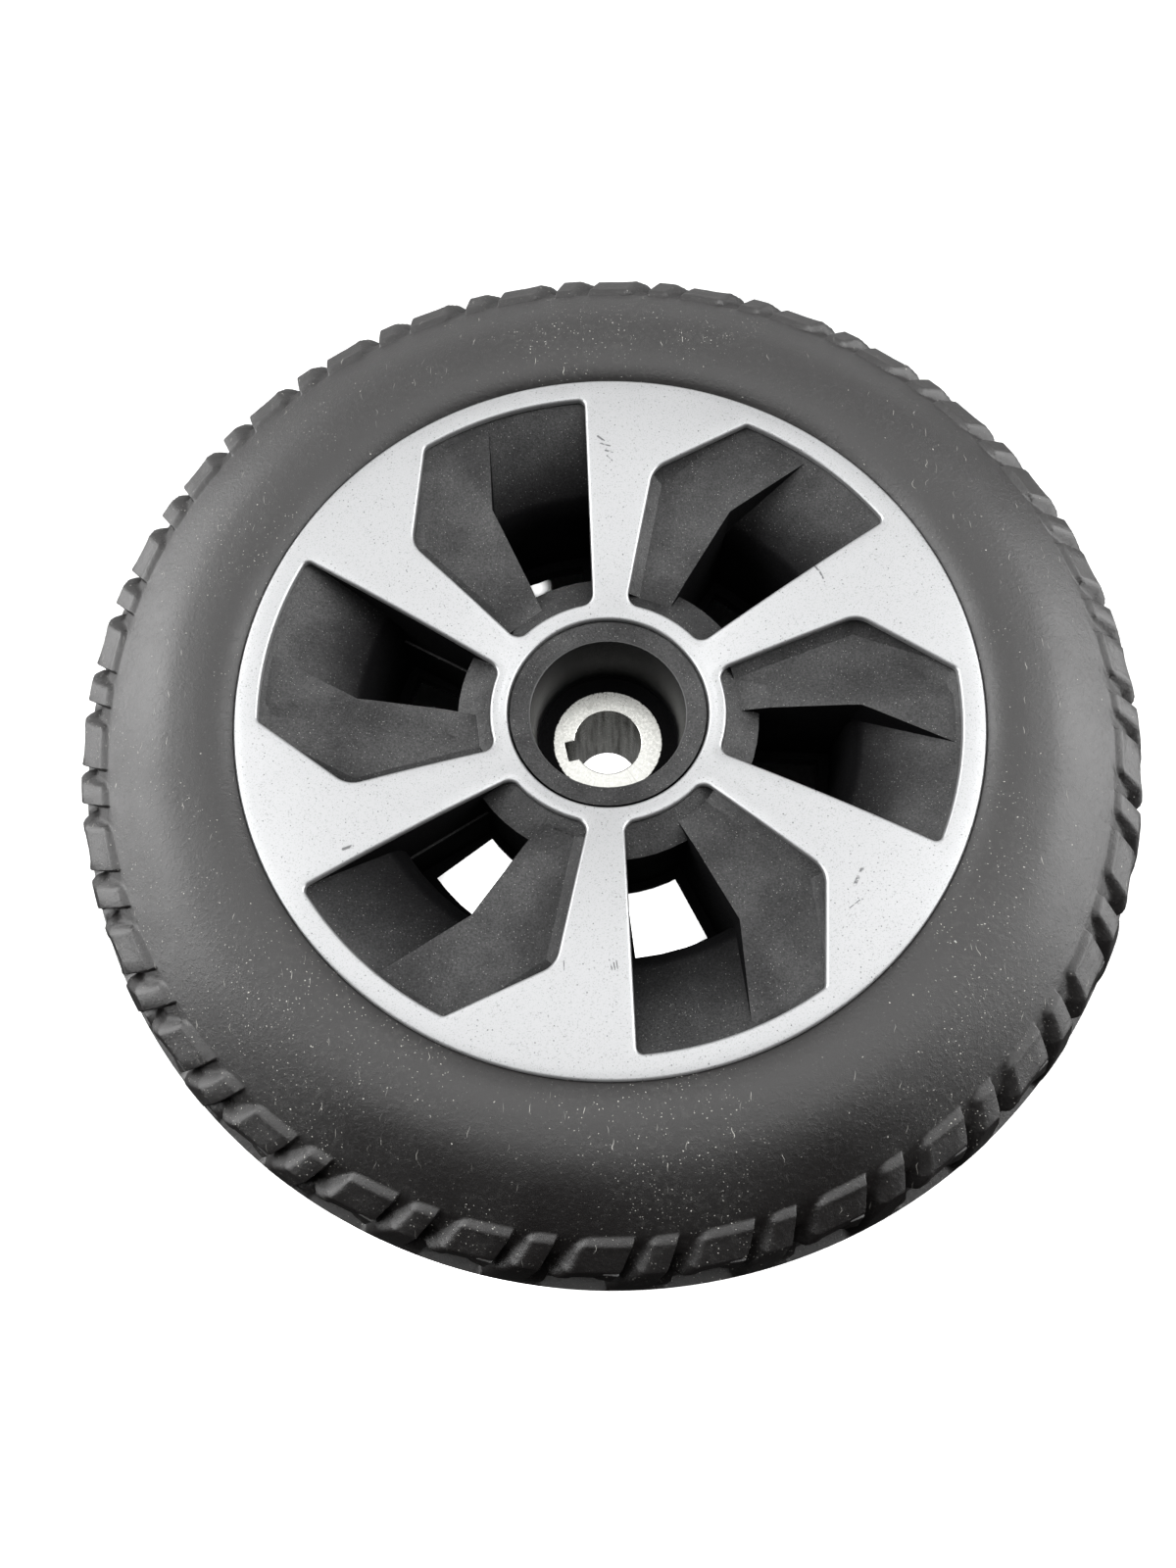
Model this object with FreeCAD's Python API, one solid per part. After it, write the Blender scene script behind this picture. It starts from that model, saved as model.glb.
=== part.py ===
import FreeCAD, Part
import math
import os

from FreeCAD import Vector

# Power wheelchair drive wheel, lying on the rear end of its hub with its trimmed face up.
# Millimetres and degrees. Heights are measured from the rear end of the hub, along the wheel's axis,
# and each "depth" downwards from the trim's outer edge, or inwards from the tread.

# Main sizes
tyre_diameter = 254.0
tyre_width = 54.0
tyre_middle = 40.0          # height of the tyre's middle plane, where the two rim halves meet
face_height = 64.0          # height of the trim's outer edge
spoke_count = 6
facet_count = 60            # flat facets that make up each large round face

# Face trim
trim_radius = 85.5
trim_thickness = 1.6
trim_chamfer = 0.7          # on the outer edge
trim_dish = 10.2            # how far the face drops from its edge to its centre hole
trim_half_dish = 3.5        # the drop half-way there
trim_hole_radius = 23.9
dish_steps = 3              # straight slopes that make up the dish

# Windows in the trim: a straight edge, an outer arc, a knee of two straight edges, an inner arc
rim_band = 5.3              # width of the trim outside the windows
window_inner_radius = 28.0
straight_angle = 32.4       # direction of the straight edge, and its distance from the axis
straight_offset = 2.5
knee_inner_angle = 78.7     # from the hub to the knee
knee_inner_offset = 1.0
knee_outer_angle = 25.5     # from the knee to the outer arc
knee_outer_offset = 50.5
knee_round = 6.0
hub_corner_round = 3.0
rim_corner_round = 1.5
trim_overhang = 0.6         # how far the trim's edge stands over the pocket below it

# Blades: the sloped flank of each spoke, lower than the trim, on the knee side of the window
blade_outer_angle = 52.0
blade_outer_depth = 2.9
blade_bend_radius = 58.5
blade_bend_angle = 59.2
blade_bend_depth = 4.6
blade_hub_radius = 31.5
blade_hub_angle = 61.0
blade_hub_depth = 10.6
flank_inset = 2.6           # how far the foot of the flank's upper wall lies inside the trim's knee
flank_outer_depth = 2.8
flank_knee_depth = 7.0
flank_hub_depth = 11.2

# Rim halves
seat_radius = 63.0          # cylinder that the tyre sits on
seat_width = 14.0
seat_wall = 5.4             # between the tyre's seat and the pockets inside it
rim_wall = 3.4
flange_overhang = 1.4       # how far the trim's edge stands out past the rim's flange
flange_edge = 1.8           # thickness of the flange at its edge
bowl_shoulder_depth = 14.9  # where the bowl turns down into the barrel
bowl_shoulder_round = 4.0
hub_ring_radius = 36.0
hub_ring_depth = 13.0
hub_ring_slope = 2.3
web_height = 21.0           # rear face of the web
web_thickness = 4.0
opening_inner_radius = 37.6
opening_outer_radius = 55.0
opening_start_angle = 37.2
opening_end_angle = 57.3
rear_boss_radius = 21.0
rear_rib_count = 12
rear_rib_thickness = 2.2
gusset_thickness = 4.0
gusset_reach = 40.0
gusset_foot = 4.0           # height of the gussets' lower ends on the boss

# Hub
collar_radius = 23.4
collar_depth = 10.9
collar_slope = 1.0
recess_radius = 18.6
recess_taper = 1.0
bore_radius = 8.5
bore_length = 32.0
insert_radius = 14.0
key_width = 5.0
key_depth = 2.3
key_angle = 194.5

# Screws that hold the rim halves together, driven from the rear
screw_ring_radius = 48.0
screw_angle = 77.0
screw_radius = 3.0
screw_length = 29.0
screw_head_radius = 5.2     # to the corners of the hexagon
screw_head_height = 3.2
screw_head_sides = 6
screw_sides = 12

# Tyre: a round bare sidewall, and tread blocks that stand up from it at the shoulder.
# Depths are measured inwards from the crown, and heights from the tyre's middle plane.
bead_inset = 0.8            # how far the bead reaches in under the trim's edge
sidewall_steps = 4
shoulder_depth = 12.3       # outer end of the sidewall
shoulder_height = 20.55
block_depth = 10.05         # outer end of the level band on a block's inner end
block_height = 20.5
facet_depth = 4.85          # outer end of the block's sloped facet
facet_height = 17.8
tread_steps = 4
floor_depth = 8.0           # where the groove's floor turns from the shoulder to the tread
floor_height = 17.2
groove_depth = 4.2          # at the middle of the tread
groove_step = 0.3           # how far the groove's floor starts above the sidewall
pitch_count = 30            # each pitch has a long block, a groove, a short block and a groove
tread_phase_angle = 3.3
long_block_angle = 5.4
long_groove_angle = 1.75
short_block_angle = 2.6
block_lean_angle = 4.3      # turn of a block from its inner end to the middle of the tread
long_groove_end = 2.0       # distances of the grooves' ends from the middle of the tread
short_groove_end = 7.0

# Clearances
fit_gap = 0.15              # between the trim, the hub tube and the rim's front half
tyre_gap = 0.3
insert_gap = 0.05
screw_gap = 0.2
overlap = 1.0               # how far cutting and joining solids run past a face
reach = 12.0                # how far a plan runs past the outermost radius that it cuts

axis = Vector(0, 0, 1)
origin = Vector(0, 0, 0)
window_outer_radius = trim_radius - rim_band
flange_radius = trim_radius - flange_overhang
crown_radius = tyre_diameter / 2
seat_front = tyre_middle + seat_width / 2
barrel_radius = seat_radius - seat_wall
under_trim = trim_thickness + fit_gap
web_front = web_height + web_thickness


def polar(radius, angle, height=0.0):
    turn = math.radians(angle)
    return Vector(radius * math.cos(turn), radius * math.sin(turn), height)


def polygon(points):
    return Part.Face(Part.makePolygon(list(points) + [points[0]]))


def prism(points, bottom, top):
    return polygon([Vector(p.x, p.y, bottom) for p in points]).extrude(Vector(0, 0, top - bottom))


def upright_plate(points, thickness):
    return polygon([Vector(r, -thickness / 2, z) for r, z in points]).extrude(Vector(0, thickness, 0))


def cylinder(radius, bottom, top):
    return Part.makeCylinder(radius, top - bottom, Vector(0, 0, bottom), axis)


def many_sided(radius, sides, bottom, top):
    return prism([polar(radius, index * 360.0 / sides) for index in range(sides)], bottom, top)


def solid_of(faces):
    solid = Part.makeSolid(Part.makeShell([polygon(face) for face in faces]))
    if solid.Volume < 0:
        solid.reverse()
    return solid


def turned(points):
    # A ring of flat facets with the given section
    step = 360.0 / facet_count
    faces = []
    for index in range(facet_count):
        for (r0, z0), (r1, z1) in zip(points, points[1:] + points[:1]):
            near = [polar(r0, index * step, z0), polar(r1, index * step, z1)]
            far = [polar(r1, (index + 1) * step, z1), polar(r0, (index + 1) * step, z0)]
            faces.append(near + far)
    return solid_of(faces)


def ring(inner, outer, bottom, top):
    return turned([(inner, bottom), (outer, bottom), (outer, top), (inner, top)])


def around(shape, count=spoke_count):
    copies = []
    for index in range(count):
        copy = shape.copy()
        copy.rotate(origin, axis, index * 360.0 / count)
        copies.append(copy)
    return copies


def softened(before, corner, after, size):
    # A corner of an outline replaced by two short slopes
    ends = []
    for other in (before, after):
        share = size / math.dist(corner, other)
        ends.append([c + share * (o - c) for c, o in zip(corner, other)])
    middle = [(a + 2 * c + b) / 4 for a, c, b in zip(ends[0], corner, ends[1])]
    return [ends[0], middle, ends[1]]


class Line:
    # A line in plan: its direction and how far it passes to the left of the axis

    def __init__(self, angle, offset):
        turn = math.radians(angle)
        self.along = Vector(math.cos(turn), math.sin(turn), 0)
        self.side = Vector(-math.sin(turn), math.cos(turn), 0)
        self.offset = offset

    def at_radius(self, radius):
        return self.side * self.offset + self.along * math.sqrt(radius ** 2 - self.offset ** 2)

    def meet(self, other):
        across = self.along.dot(other.side)
        run = (other.offset - self.side.dot(other.side) * self.offset) / across
        return self.side * self.offset + self.along * run


def dish_at(share):
    # Depth of the face at a share of the way from its edge to its hole
    steepening = 2 * trim_dish - 4 * trim_half_dish
    return share * (trim_dish - steepening) + share ** 2 * steepening


def face_at(radius, below=0.0):
    share = dish_steps * (trim_radius - radius) / (trim_radius - trim_hole_radius)
    step = min(max(math.floor(share), 0), dish_steps - 1)
    start = dish_at(step / dish_steps)
    end = dish_at((step + 1) / dish_steps)
    return face_height - below - start - (end - start) * (share - step)


def face_points(inner, outer, below):
    # Outline of the dished face, from its outer end to its inner end
    width = (trim_radius - trim_hole_radius) / dish_steps
    corners = [trim_radius - width * step for step in range(1, dish_steps)]
    radii = [outer] + [radius for radius in corners if inner < radius < outer] + [inner]
    return [(radius, face_at(radius, below)) for radius in radii]


def window_lines(margin):
    straight = Line(straight_angle, straight_offset - margin)
    inner = Line(knee_inner_angle, knee_inner_offset + margin)
    outer = Line(knee_outer_angle, knee_outer_offset + margin)
    return straight, inner, outer


def apart(first, second):
    return math.hypot(first.x - second.x, first.y - second.y)


def stands_at(edge, place):
    # Whether an edge is upright and passes through a place in plan
    return all(apart(vertex.Point, place) < 1e-3 for vertex in edge.Vertexes)


def window_plan(margin, bottom, top):
    straight, inner, outer = window_lines(margin)
    far = trim_radius + reach
    plan = [straight.meet(inner), straight.at_radius(far), outer.at_radius(far), inner.meet(outer)]
    return prism(plan, bottom, top)


def window(bottom, top):
    straight, inner, outer = window_lines(0)
    body = window_plan(0, bottom, top).common(cylinder(window_outer_radius, bottom, top))
    body = body.cut(cylinder(window_inner_radius, bottom, top))
    hub_corners = [line.at_radius(window_inner_radius) for line in (straight, inner)]
    rim_corners = [line.at_radius(window_outer_radius) for line in (straight, outer)]
    rounds = [(knee_round, [inner.meet(outer)]), (hub_corner_round, hub_corners)]
    rounds.append((rim_corner_round, rim_corners))
    for size, corners in rounds:
        edges = [edge for edge in body.Edges if any(stands_at(edge, corner) for corner in corners)]
        body = body.makeFillet(size, edges)
    return body


def free_edge():
    # The blade's free edge, from the rim to the hub
    outer = polar(window_outer_radius, blade_outer_angle, face_height - blade_outer_depth)
    bend = polar(blade_bend_radius, blade_bend_angle, face_height - blade_bend_depth)
    inner = polar(blade_hub_radius, blade_hub_angle, face_height - blade_hub_depth)
    return outer, bend, inner


def blade():
    # A spoke's flank below the trim: a steep upper wall, a knee facet and a free facet
    outer, bend, inner = free_edge()
    outer = outer + (outer - bend) * (2 * overlap / (outer - bend).Length)
    straight, top_inner, top_outer = window_lines(trim_overhang + overlap)
    straight, foot_inner, foot_outer = window_lines(-flank_inset)
    rim_end = window_outer_radius + 2 * overlap
    hub_end = blade_hub_radius
    top = [top_inner.at_radius(hub_end), top_inner.meet(top_outer), top_outer.at_radius(rim_end)]
    foot = [foot_inner.at_radius(hub_end), foot_inner.meet(foot_outer), foot_outer.at_radius(rim_end)]
    for point in top:
        point.z = face_at(apart(point, origin), under_trim)
    for point, depth in zip(foot, (flank_hub_depth, flank_knee_depth, flank_outer_depth)):
        point.z = face_height - depth
    top_hub, top_knee, top_rim = top
    foot_hub, foot_knee, foot_rim = foot
    roof = [
        (top_hub, foot_hub, top_knee), (foot_hub, foot_knee, top_knee),
        (top_knee, foot_knee, top_rim), (foot_knee, foot_rim, top_rim),
        (foot_hub, foot_rim, foot_knee),
        (foot_hub, bend, foot_rim), (bend, outer, foot_rim), (foot_hub, inner, bend),
    ]
    border = [top_hub, top_knee, top_rim, foot_rim, outer, bend, inner, foot_hub]
    floor = [Vector(p.x, p.y, tyre_middle) for p in border]
    walls = []
    for index in range(len(border)):
        after = (index + 1) % len(border)
        walls.append((border[index], border[after], floor[after], floor[index]))
    return solid_of(roof + walls + [floor])


def pocket(bottom, top):
    # The space between two spokes behind the window, down to the web
    outer, bend, inner = free_edge()
    sides = []
    for start, end in ((inner, bend), (bend, outer)):
        side = Line(math.degrees(math.atan2(end.y - start.y, end.x - start.x)), 0)
        side.offset = side.side.dot(Vector(start.x, start.y, 0))
        sides.append(side)
    near, far = sides
    straight = Line(straight_angle, straight_offset)
    inside = hub_ring_radius / 2
    outside = seat_radius + reach
    plan = [straight.at_radius(inside), straight.at_radius(outside)]
    plan += [far.at_radius(outside), near.meet(far), near.at_radius(inside)]
    return prism(plan, bottom, top).common(ring(hub_ring_radius, barrel_radius, bottom, top))


def screw_hole(bottom, top):
    hole = many_sided(screw_radius + screw_gap, screw_sides, bottom, top)
    hole.translate(polar(screw_ring_radius, screw_angle))
    return hole


def flange_line():
    # Outer side of the front flange, which the tyre lies against: its outer end and its foot
    return (flange_radius, face_at(flange_radius, under_trim) - flange_edge), (seat_radius, seat_front)


def mirrored(point):
    radius, height = point
    return radius, 2 * tyre_middle - height


def rim_front():
    hole = collar_radius + fit_gap
    low = tyre_middle - overlap
    top = face_height + overlap
    outline = face_points(hole, flange_radius, under_trim)
    envelope = turned([(hole, tyre_middle), (seat_radius, tyre_middle), *reversed(flange_line()), *outline])

    lip_radius = window_outer_radius + trim_overhang
    lip = (lip_radius, face_at(lip_radius, under_trim))
    shoulder = (barrel_radius, face_height - bowl_shoulder_depth)
    barrel_foot = (barrel_radius, low)
    bowl = [lip, *softened(lip, shoulder, barrel_foot, bowl_shoulder_round), barrel_foot]
    ring_lip = face_height - hub_ring_depth
    inner = window_inner_radius - trim_overhang
    hub_side = [(hub_ring_radius, low), (hub_ring_radius, ring_lip), (inner, ring_lip + hub_ring_slope)]
    bowl_space = turned(bowl + hub_side + [(inner, top), (lip_radius, top)])
    bowl_space = bowl_space.common(window_plan(trim_overhang, low, top))

    body = envelope.cut(around(bowl_space))
    body = body.fuse([envelope.common(flank) for flank in around(blade())])
    holes = around(screw_hole(low, web_height + screw_length + overlap))
    return body.cut(holes).removeSplitter()


def rear_outline():
    # Section of the rear half, and the roof of the ribbed hollow behind its flange
    collar = face_height - collar_depth
    hole = (insert_radius + insert_gap) / math.cos(math.pi / facet_count)
    edge, foot = [mirrored(point) for point in flange_line()]
    edge_low = edge[1] - flange_edge
    slope = (foot[1] - edge[1]) / (edge[0] - foot[0])
    wall = rim_wall * math.hypot(1, slope)
    hollow_inner = barrel_radius + rim_wall
    hollow_top = foot[1] - wall + slope * (foot[0] - hollow_inner)
    hollow_outer = hollow_inner + (hollow_top - edge_low) / slope
    front = [(hole, bore_length), (recess_radius - recess_taper, bore_length),
             (recess_radius, collar - collar_slope), (collar_radius, collar), (collar_radius, tyre_middle),
             (seat_radius, tyre_middle), foot, edge]
    rear = [(edge[0], edge_low), (hollow_outer, edge_low), (hollow_inner, hollow_top),
            (hollow_inner, web_height), (rear_boss_radius, web_height), (rear_boss_radius, 0), (hole, 0)]
    return front + rear, (hollow_inner, hollow_top), (hollow_outer, edge_low)


def rim_rear():
    outline, hollow_inner, hollow_outer = rear_outline()
    body = turned(outline)

    inner = hollow_inner[0] - overlap
    rib_plan = [(inner, web_height + overlap), (inner, hollow_inner[1] + overlap),
                (hollow_inner[0], hollow_inner[1] + overlap),
                (hollow_outer[0], hollow_outer[1] + overlap),
                (hollow_outer[0], hollow_outer[1] + overlap / 2)]
    boss = rear_boss_radius - overlap
    gusset_plan = [(boss, web_height + overlap), (gusset_reach, web_height + overlap),
                   (gusset_reach, web_height - overlap), (boss, gusset_foot)]
    ribs = around(upright_plate(rib_plan, rear_rib_thickness), rear_rib_count)
    gusset = upright_plate(gusset_plan, gusset_thickness)
    gusset.rotate(origin, axis, screw_angle)
    body = body.fuse(ribs + around(gusset))

    top = tyre_middle + overlap
    low = web_height - overlap
    far = opening_outer_radius + reach
    wedge = prism([origin, polar(far, opening_start_angle), polar(far, opening_end_angle)], low, web_front + overlap)
    opening = ring(opening_inner_radius, opening_outer_radius, low, web_front + overlap).common(wedge)
    spaces = [pocket(web_front, top), opening, screw_hole(low, top)]
    for space in spaces:
        body = body.cut(around(space))
    return body.removeSplitter()


def hub_insert():
    sleeve = cylinder(insert_radius, 0, bore_length)
    slot = Part.makeBox(bore_radius + key_depth, key_width, bore_length, Vector(0, -key_width / 2, 0), axis)
    slot.rotate(origin, axis, key_angle)
    return sleeve.cut([cylinder(bore_radius, 0, bore_length), slot])


def face_trim():
    top = face_points(trim_hole_radius, trim_radius - trim_chamfer, 0)
    low = face_points(trim_hole_radius, trim_radius, trim_thickness)
    plate = turned([(trim_radius, top[0][1] - trim_chamfer), *top, *reversed(low)])
    return plate.cut(around(window(low[-1][1] - overlap, face_height + overlap)))


def rim_screws():
    body = many_sided(screw_head_radius, screw_head_sides, web_height - screw_head_height, web_height)
    body = body.fuse(many_sided(screw_radius, screw_sides, web_height, web_height + screw_length))
    body.translate(polar(screw_ring_radius, screw_angle))
    return Part.makeCompound(around(body))


def arc_points(start, middle, end, steps):
    edge = Part.Arc(*[Vector(r, 0, z) for r, z in (start, middle, end)]).toShape()
    return [(point.x, point.z) for point in edge.discretize(steps + 1)]


def inside_crown(depth, height):
    return crown_radius - depth, tyre_middle + height


def tyre_section():
    edge, foot = flange_line()
    slope = (edge[1] - foot[1]) / (edge[0] - foot[0])
    seat = seat_radius + tyre_gap
    lower = tyre_gap * math.hypot(1, slope)
    inner = [(seat, foot[1] + slope * (seat - foot[0]) - lower)]
    bead_radius = trim_radius - bead_inset
    bead = (bead_radius, foot[1] + slope * (bead_radius - foot[0]) - lower)
    shoulder = inside_crown(shoulder_depth, shoulder_height)
    crest = ((bead[0] + shoulder[0]) / 2, tyre_middle + tyre_width / 2)
    front = inner + arc_points(bead, crest, shoulder, sidewall_steps)
    front.append(inside_crown(block_depth, block_height))
    facet = inside_crown(facet_depth, facet_height)
    tread = arc_points(facet, (crown_radius, tyre_middle), mirrored(facet), tread_steps)
    return front + tread + [mirrored(point) for point in reversed(front)]


def groove_space():
    # The space above the floor of a groove, in section and along the tread
    end = inside_crown(floor_depth, floor_height)
    floor = [end, inside_crown(groove_depth, 0), mirrored(end)]
    mouth = inside_crown(shoulder_depth + groove_step, shoulder_height + groove_step)
    outside = [(crown_radius + reach, mirrored(mouth)[1]), (crown_radius + reach, mouth[1])]
    return upright_plate([*floor, mirrored(mouth), *outside, mouth], 4 * reach)


def groove(angle, width, end, space):
    # A slanting cut from the shoulder towards the middle of the tread
    start = tyre_width / 2
    plan = []
    for side, offset in ((-1, start), (1, start), (1, end), (-1, end)):
        turn = side * width / 2 - block_lean_angle * (shoulder_height - offset) / shoulder_height
        plan.append(Vector(0, crown_radius * math.tan(math.radians(turn)), tyre_middle + offset))
    cut = polygon(plan).extrude(Vector(crown_radius + reach, 0, 0)).common(space)
    cut.rotate(origin, axis, angle)
    return cut


def tyre():
    space = groove_space()
    pitch = 360.0 / pitch_count
    short_groove_angle = pitch - long_block_angle - long_groove_angle - short_block_angle
    first = tread_phase_angle + long_block_angle + long_groove_angle / 2
    second = tread_phase_angle - short_groove_angle / 2
    cuts = []
    grooves = [(first, long_groove_angle, long_groove_end), (second, short_groove_angle, short_groove_end)]
    for angle, width, end in grooves:
        front = groove(angle, width, end, space)
        rear = front.copy()
        rear.rotate(Vector(0, 0, tyre_middle), Vector(1, 0, 0), 180)
        cuts += around(front, pitch_count) + around(rear, pitch_count)
    return turned(tyre_section()).cut(cuts)


nodes = {
    "tyre": tyre,
    "rim_front": rim_front,
    "rim_rear": rim_rear,
    "hub_insert": hub_insert,
    "face_trim": face_trim,
    "rim_screws": rim_screws,
}

os.makedirs("parts", exist_ok=True)
for name, make in nodes.items():
    shape = make()
    print(name, "solids", len(shape.Solids), "valid", shape.isValid(), "volume", round(shape.Volume))
    shape.exportStep("parts/" + name + ".step")
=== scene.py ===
import bpy
import bmesh
import math
import numpy as np
from mathutils import Matrix, Vector
from mathutils.geometry import delaunay_2d_cdt


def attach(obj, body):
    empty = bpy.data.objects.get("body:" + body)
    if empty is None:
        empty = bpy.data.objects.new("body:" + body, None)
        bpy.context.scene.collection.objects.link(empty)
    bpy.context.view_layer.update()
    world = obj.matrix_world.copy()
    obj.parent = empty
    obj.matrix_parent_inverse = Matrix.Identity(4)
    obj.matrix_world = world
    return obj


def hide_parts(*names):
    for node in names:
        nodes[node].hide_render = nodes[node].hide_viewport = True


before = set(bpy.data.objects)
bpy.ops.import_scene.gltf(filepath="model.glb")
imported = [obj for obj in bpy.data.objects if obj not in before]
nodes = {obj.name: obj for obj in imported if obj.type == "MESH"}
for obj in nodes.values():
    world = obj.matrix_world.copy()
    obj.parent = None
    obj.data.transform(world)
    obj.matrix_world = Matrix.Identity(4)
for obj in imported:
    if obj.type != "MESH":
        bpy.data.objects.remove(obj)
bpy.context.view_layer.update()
mm = 0.001
mergeGap = 1e-6
print("frame loaded", sorted(nodes))

# general shape of the wheel, in millimetres, as in the CAD
wheel = {
    "middle": 40.0,
    "faceHeight": 64.0,
    "spokes": 6,
    "trimRadius": 85.5,
    "holeRadius": 23.9,
    "dish": 10.2,
    "halfDish": 3.5,
}
sector = 360.0 / wheel["spokes"]


def smooth(low, high, value):
    share = np.clip((np.asarray(value, float) - low) / (high - low), 0, 1)
    return share * share * (3 - 2 * share)


def dishAt(radius, below=0.0):
    share = (wheel["trimRadius"] - radius) / (wheel["trimRadius"] - wheel["holeRadius"])
    steepening = 2 * wheel["dish"] - 4 * wheel["halfDish"]
    drop = share * (wheel["dish"] - steepening) + share * share * steepening
    return wheel["faceHeight"] - below - drop


def makePiece(name, points, faces, material, smoothAngle, hollow=None):
    mesh = bpy.data.meshes.new(name)
    mesh.from_pydata((np.asarray(points, float) * mm).tolist(), [], faces)
    if hollow is not None:
        mesh.attributes.new("hollow", "FLOAT", "POINT").data.foreach_set("value", hollow)
    mesh.validate()
    piece = bpy.data.objects.new(name, mesh)
    bpy.context.scene.collection.objects.link(piece)
    tidyMesh(mesh)
    mesh.materials.append(material)
    shadeByAngle(mesh, smoothAngle)
    return piece


def tidyMesh(mesh):
    build = bmesh.new()
    build.from_mesh(mesh)
    bmesh.ops.remove_doubles(build, verts=build.verts, dist=mergeGap)
    bmesh.ops.recalc_face_normals(build, faces=build.faces)
    build.to_mesh(mesh)
    build.free()


def shadeByAngle(mesh, angle):
    mesh.shade_smooth()
    mesh.set_sharp_from_angle(angle=math.radians(angle))


def standFor(piece, node):
    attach(piece, "root")
    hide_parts(node)


# node helpers for the materials
def newMaterial(name):
    material = bpy.data.materials.new(name)
    material.use_nodes = True
    tree = material.node_tree
    return material, tree, tree.nodes["Principled BSDF"]


def put(tree, kind, inputs=None, **settings):
    made = tree.nodes.new("ShaderNode" + kind)
    for key, value in settings.items():
        setattr(made, key, value)
    for key, value in (inputs or {}).items():
        if isinstance(value, bpy.types.NodeSocket):
            tree.links.new(value, made.inputs[key])
        else:
            made.inputs[key].default_value = value
    return made


def compute(tree, operation, *values):
    result = values[0]
    for value in values[1:]:
        result = put(tree, "Math", {0: result, 1: value}, operation=operation).outputs[0]
    return result


def times(tree, *values):
    return compute(tree, "MULTIPLY", *values)


def largest(tree, *values):
    return compute(tree, "MAXIMUM", *values)


def vectorMath(tree, operation, inputs, output=0):
    return put(tree, "VectorMath", inputs, operation=operation).outputs[output]


def remap(tree, value, low, high, toLow=0.0, toHigh=1.0):
    inputs = {"Value": value, "From Min": low, "From Max": high, "To Min": toLow, "To Max": toHigh}
    return put(tree, "MapRange", inputs, interpolation_type="SMOOTHSTEP").outputs["Result"]


def fade(tree, share, low, high):
    return remap(tree, share, 0.0, 1.0, low, high)


def mixColour(tree, share, first, second):
    return put(tree, "Mix", {0: share, 6: first, 7: second}, data_type="RGBA").outputs[2]


def objectPlace(tree):
    return put(tree, "TexCoord").outputs["Object"]


def heightOf(tree, place):
    return put(tree, "SeparateXYZ", {0: place}).outputs[2]


def facingUp(tree):
    return heightOf(tree, put(tree, "NewGeometry").outputs["Normal"])


def planOf(tree, place):
    return vectorMath(tree, "MULTIPLY", {0: place, 1: (1, 1, 0)})


def planRadius(tree, place):
    return vectorMath(tree, "LENGTH", {0: planOf(tree, place)}, "Value")


def grain(tree, place, scale, detail, roughness):
    inputs = {"Vector": place, "Scale": scale, "Detail": detail, "Roughness": roughness}
    return put(tree, "TexNoise", inputs).outputs["Fac"]


def bump(tree, height, distance, strength):
    return put(tree, "Bump", {"Height": height, "Distance": distance, "Strength": strength}).outputs[0]


# specks, fibres and scratches: the share of their width that is full, and how faint the faintest is
markLook = {
    "speckCore": 0.5,
    "speckFaint": 0.3,
    "fibreCore": 0.4,
    "fibreFaint": 0.2,
    "scratchCore": 0.4,
}


def someCells(tree, cells, size, core, share, faint):
    # the middles of some of the cells, each with its own strength
    shape = remap(tree, cells.outputs["Distance"], size, size * core)
    pick = put(tree, "SeparateColor", {"Color": cells.outputs["Color"]})
    chosen = compute(tree, "GREATER_THAN", pick.outputs[0], 1.0 - share)
    return times(tree, shape, chosen, fade(tree, pick.outputs[1], faint, 1.0))


def specks(tree, place, scale, size, share):
    cells = put(tree, "TexVoronoi", {"Vector": place, "Scale": scale, "Randomness": 1.0})
    return someCells(tree, cells, size, markLook["speckCore"], share, markLook["speckFaint"])


def fibres(tree, place, scale, stretch, width, share, turn):
    # short thin hairs that lie flat: stretched cells
    laying = {"Vector": place, "Rotation": (0, 0, turn), "Scale": (1, stretch, 1)}
    laid = put(tree, "Mapping", laying).outputs[0]
    inputs = {"Vector": laid, "Scale": scale, "Randomness": 1.0}
    cells = put(tree, "TexVoronoi", inputs, voronoi_dimensions="2D")
    return someCells(tree, cells, width, markLook["fibreCore"], share, markLook["fibreFaint"])


def scratch(tree, place, start, end, width):
    # a thin mark between two places, in millimetres
    start, end = Vector((*start, 0)) * mm, Vector((*end, 0)) * mm
    run = end - start
    offset = vectorMath(tree, "SUBTRACT", {0: planOf(tree, place), 1: start})
    along = vectorMath(tree, "DOT_PRODUCT", {0: offset, 1: run / run.length_squared}, "Value")
    along = put(tree, "Math", {0: along, 1: 0.0}, operation="ADD", use_clamp=True).outputs[0]
    foot = vectorMath(tree, "SCALE", {0: run, "Scale": along})
    gap = vectorMath(tree, "DISTANCE", {0: offset, 1: foot}, "Value")
    return remap(tree, gap, width * mm, width * markLook["scratchCore"] * mm)


def bentPlace(tree, place, scale, reach):
    # places pushed about by noise
    bent = put(tree, "TexNoise", {"Vector": place, "Scale": scale, "Detail": 1.0}).outputs["Color"]
    shift = vectorMath(tree, "SCALE", {0: bent, "Scale": reach})
    return vectorMath(tree, "ADD", {0: place, 1: shift})


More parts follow.
